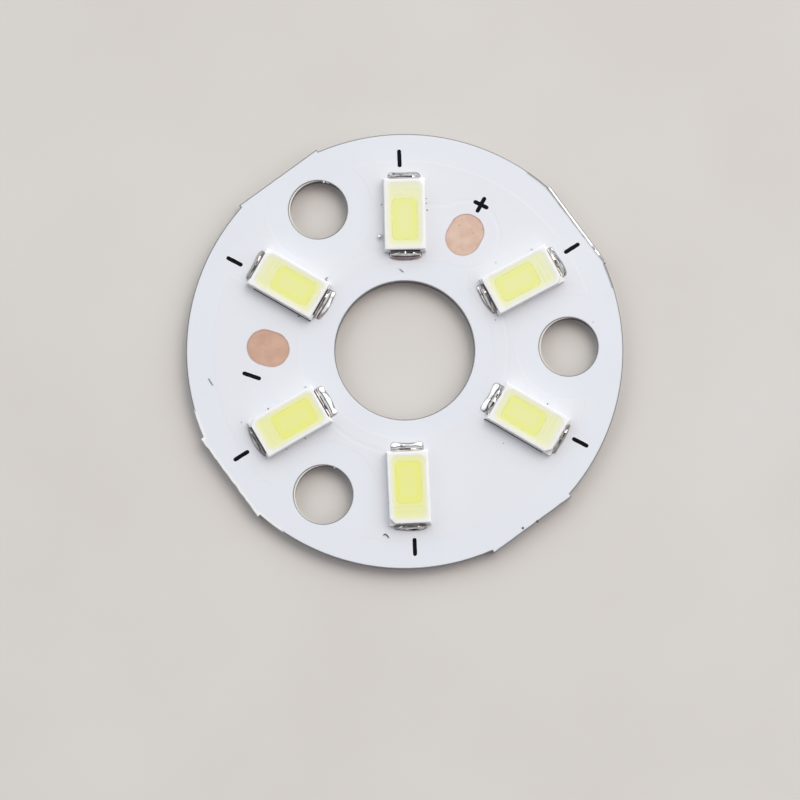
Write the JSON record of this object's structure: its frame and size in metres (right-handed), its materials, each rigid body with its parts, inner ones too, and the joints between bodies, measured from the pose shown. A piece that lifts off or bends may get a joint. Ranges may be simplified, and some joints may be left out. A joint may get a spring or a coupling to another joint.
{
  "type": "smd led board",
  "caption": "Round white aluminium-core circuit board with a ring of surface-mount LED packages, a large centre hole, screw holes and copper wire pads.",
  "frame": {"origin": "centre of the board's underside", "axes": "+Z out of the LED side, +X towards the first screw hole, +Y towards LED 1"},
  "size_m": [0.032, 0.032, 0.0021],
  "materials": {
    "aluminium": "rolled sheet with a punched edge",
    "resin": "filled epoxy",
    "solder_mask": "white printed and cured lacquer",
    "copper": "etched foil, lightly oxidised",
    "led_housing": "moulded white polyamide",
    "lead_frame": "silver-plated copper sheet",
    "die": "polished crystal",
    "bond_wire": "drawn gold wire",
    "phosphor": "silicone filled with yellow phosphor",
    "solder": "reflowed tin solder"
  },
  "bodies": {
    "root": {"aluminium_core": "aluminium", "dielectric_layer": "resin", "solder_mask": "solder_mask", "copper_positive": "copper", "copper_link_1": "copper", "copper_link_2": "copper", "copper_negative": "copper", "led_1_housing": "led_housing", "led_1_anode_lead": "lead_frame", "led_1_cathode_lead": "lead_frame", "led_1_die": "die", "led_1_bond_wires": "bond_wire", "led_1_phosphor": "phosphor", "led_1_anode_solder": "solder", "led_1_cathode_solder": "solder", "led_2_housing": "led_housing", "led_2_anode_lead": "lead_frame", "led_2_cathode_lead": "lead_frame", "led_2_die": "die", "led_2_bond_wires": "bond_wire", "led_2_phosphor": "phosphor", "led_2_anode_solder": "solder", "led_2_cathode_solder": "solder", "led_3_housing": "led_housing", "led_3_anode_lead": "lead_frame", "led_3_cathode_lead": "lead_frame", "led_3_die": "die", "led_3_bond_wires": "bond_wire", "led_3_phosphor": "phosphor", "led_3_anode_solder": "solder", "led_3_cathode_solder": "solder", "led_4_housing": "led_housing", "led_4_anode_lead": "lead_frame", "led_4_cathode_lead": "lead_frame", "led_4_die": "die", "led_4_bond_wires": "bond_wire", "led_4_phosphor": "phosphor", "led_4_anode_solder": "solder", "led_4_cathode_solder": "solder", "led_5_housing": "led_housing", "led_5_anode_lead": "lead_frame", "led_5_cathode_lead": "lead_frame", "led_5_die": "die", "led_5_bond_wires": "bond_wire", "led_5_phosphor": "phosphor", "led_5_anode_solder": "solder", "led_5_cathode_solder": "solder", "led_6_housing": "led_housing", "led_6_anode_lead": "lead_frame", "led_6_cathode_lead": "lead_frame", "led_6_die": "die", "led_6_bond_wires": "bond_wire", "led_6_phosphor": "phosphor", "led_6_anode_solder": "solder", "led_6_cathode_solder": "solder"}
  },
  "joints": []
}
